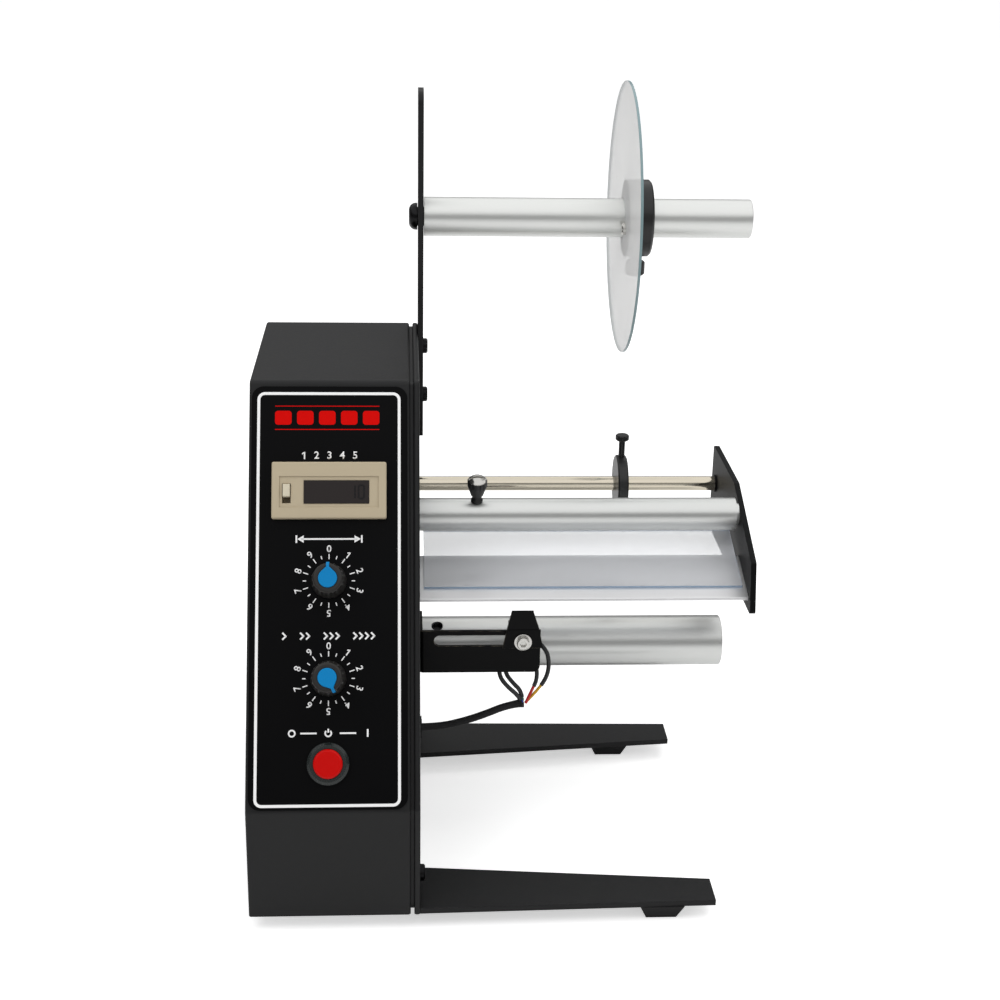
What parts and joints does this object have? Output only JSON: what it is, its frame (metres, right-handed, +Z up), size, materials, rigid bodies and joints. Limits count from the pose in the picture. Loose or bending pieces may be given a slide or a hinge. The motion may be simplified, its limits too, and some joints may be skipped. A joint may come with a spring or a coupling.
{
  "type": "label dispenser",
  "caption": "Motor-driven label dispenser: black cabinet with sloping control panel, roll spindle with clear disc, guide rod, guide tube, peel plate, sensor and winder tube on its side.",
  "frame": {"origin": "bottom centre of the whole machine's bounding box, on the table", "axes": "+Z up, +Y from the control panel towards the back, +X from the cabinet towards the free ends"},
  "size_m": [0.2274, 0.2365, 0.3313],
  "materials": {
    "black_paint": "satin",
    "cover_paint": "fine texture",
    "panel_print": "matt, white lines",
    "black_plastic": "satin",
    "beige_plastic": "satin",
    "blue_plastic": "gloss",
    "red_plastic": "gloss",
    "smoked_lens": "gloss",
    "grey_plastic": "satin",
    "clear_acrylic": "gloss",
    "hazy_acrylic": "slightly hazed",
    "aluminium": "satin anodised",
    "steel": "bright ground",
    "black_steel": "black oxide",
    "zinc": "bright zinc",
    "brass": "turned",
    "rubber": "matt",
    "board_green": "satin",
    "lead_grey": "satin",
    "nylon": "satin"
  },
  "bodies": {
    "machine": {"side_plate": "black_paint", "side_frame": "black_paint", "case_cover": "cover_paint", "bottom_plate": "zinc", "rubber_feet": "rubber", "m3_screws": "black_steel", "m4_screws": "black_steel", "panel_overlay": "panel_print", "counter_body": "beige_plastic", "counter_window": "smoked_lens", "counter_clip": "black_plastic", "potentiometers": "zinc", "power_button_body": "black_plastic", "spindle_arm": "black_paint", "guide_rod": "steel", "guide_tube_ends": "aluminium", "guide_tube": "aluminium", "end_plate": "black_paint", "peel_plate": "steel", "clear_sheet": "clear_acrylic", "sensor_bracket": "black_paint", "front_leg": "black_paint", "rear_leg": "black_paint", "shaft_bearings": "steel", "motor_plate": "zinc", "motor_posts": "zinc", "gearbox": "zinc", "motor": "zinc", "control_board": "board_green", "transformer": "zinc", "power_inlet": "black_plastic", "cable_grommet": "rubber", "sensor_sheath": "rubber", "sensor_leads": "lead_grey"},
    "spindle": {"spindle_tube": "aluminium", "spindle_plug": "nylon", "spindle_bolt": "black_steel"},
    "disc": {"roll_disc": "hazy_acrylic", "disc_hub": "black_plastic", "disc_screws": "zinc"},
    "hub_screw": {"hub_thumb_screw": "black_plastic"},
    "collar": {"rod_collar": "black_plastic"},
    "collar_screw": {"collar_thumb_screw": "black_plastic"},
    "tube_screw": {"guide_tube_screw": "black_steel"},
    "length_control": {"length_pot_shaft": "aluminium", "length_knob": "black_plastic", "length_knob_cap": "blue_plastic"},
    "speed_control": {"speed_pot_shaft": "aluminium", "speed_knob": "black_plastic", "speed_knob_cap": "blue_plastic"},
    "power_cap": {"power_button_cap": "red_plastic"},
    "reset_key": {"counter_reset_key": "grey_plastic"},
    "winder": {"winder_tube": "aluminium", "winder_shaft": "steel", "winder_hubs": "aluminium", "winder_gear": "nylon"},
    "pinion": {"motor_pinion": "brass"},
    "sensor": {"sensor_slider": "black_paint", "sensor_head": "black_plastic"},
    "sensor_clamp": {"sensor_screw": "zinc"}
  },
  "joints": [
    {"name": "spindle_spin", "type": "hinge", "parent": "machine", "child": "spindle", "pos_m": [-0.0417, 0.05585, 0.269], "axis": [1, 0, 0], "continuous": true},
    {"name": "disc_slide", "type": "slide", "parent": "spindle", "child": "disc", "axis": [1, 0, 0], "range_m": [-0.088, 0.046]},
    {"name": "hub_screw_turn", "type": "hinge", "parent": "disc", "child": "hub_screw", "pos_m": [0.0606, 0.05585, 0.245], "axis": [0, 0, -1], "range_deg": [0, 360]},
    {"name": "collar_slide", "type": "slide", "parent": "machine", "child": "collar", "axis": [1, 0, 0], "range_m": [-0.092, 0.04]},
    {"name": "collar_screw_turn", "type": "hinge", "parent": "collar", "child": "collar_screw", "pos_m": [0.0573, 0.04785, 0.158], "axis": [0, 0, 1], "range_deg": [0, 360]},
    {"name": "guide_tube_screw_turn", "type": "hinge", "parent": "machine", "child": "tube_screw", "pos_m": [-0.0155, -0.01246, 0.15754], "axis": [0, -0.2756, 0.9613], "range_deg": [0, 360]},
    {"name": "winder_spin", "type": "hinge", "parent": "machine", "child": "winder", "pos_m": [-0.0417, 0.01185, 0.0725], "axis": [1, 0, 0], "continuous": true},
    {"name": "pinion_spin", "type": "hinge", "parent": "machine", "child": "pinion", "pos_m": [-0.0517, -0.02413, 0.05503], "axis": [1, 0, 0], "continuous": true},
    {"name": "length_turn", "type": "hinge", "parent": "machine", "child": "length_control", "pos_m": [-0.0797, -0.07281, 0.14082], "axis": [0, 0.8796, -0.4757], "range_deg": [0, 300]},
    {"name": "speed_turn", "type": "hinge", "parent": "machine", "child": "speed_control", "pos_m": [-0.0797, -0.09213, 0.10511], "axis": [0, 0.8796, -0.4757], "range_deg": [-154, 146]},
    {"name": "power_press", "type": "slide", "parent": "machine", "child": "power_cap", "axis": [0, 0.8796, -0.4757], "range_m": [0, 0.003], "stiffness_N_per_m": 300, "springref_m": -0.001},
    {"name": "reset_press", "type": "slide", "parent": "machine", "child": "reset_key", "axis": [0, 0.8796, -0.4757], "range_m": [0, 0.001], "stiffness_N_per_m": 300, "springref_m": -0.001},
    {"name": "sensor_slide", "type": "slide", "parent": "machine", "child": "sensor", "axis": [1, 0, 0], "range_m": [-0.033, 0]},
    {"name": "sensor_screw_turn", "type": "hinge", "parent": "sensor", "child": "sensor_clamp", "pos_m": [0.0041, -0.04815, 0.1011], "axis": [0, -1, 0], "range_deg": [0, 360]}
  ],
  "couplings": [
    {"joint": "pinion_spin", "follows": "winder_spin", "ratio": -3}
  ]
}
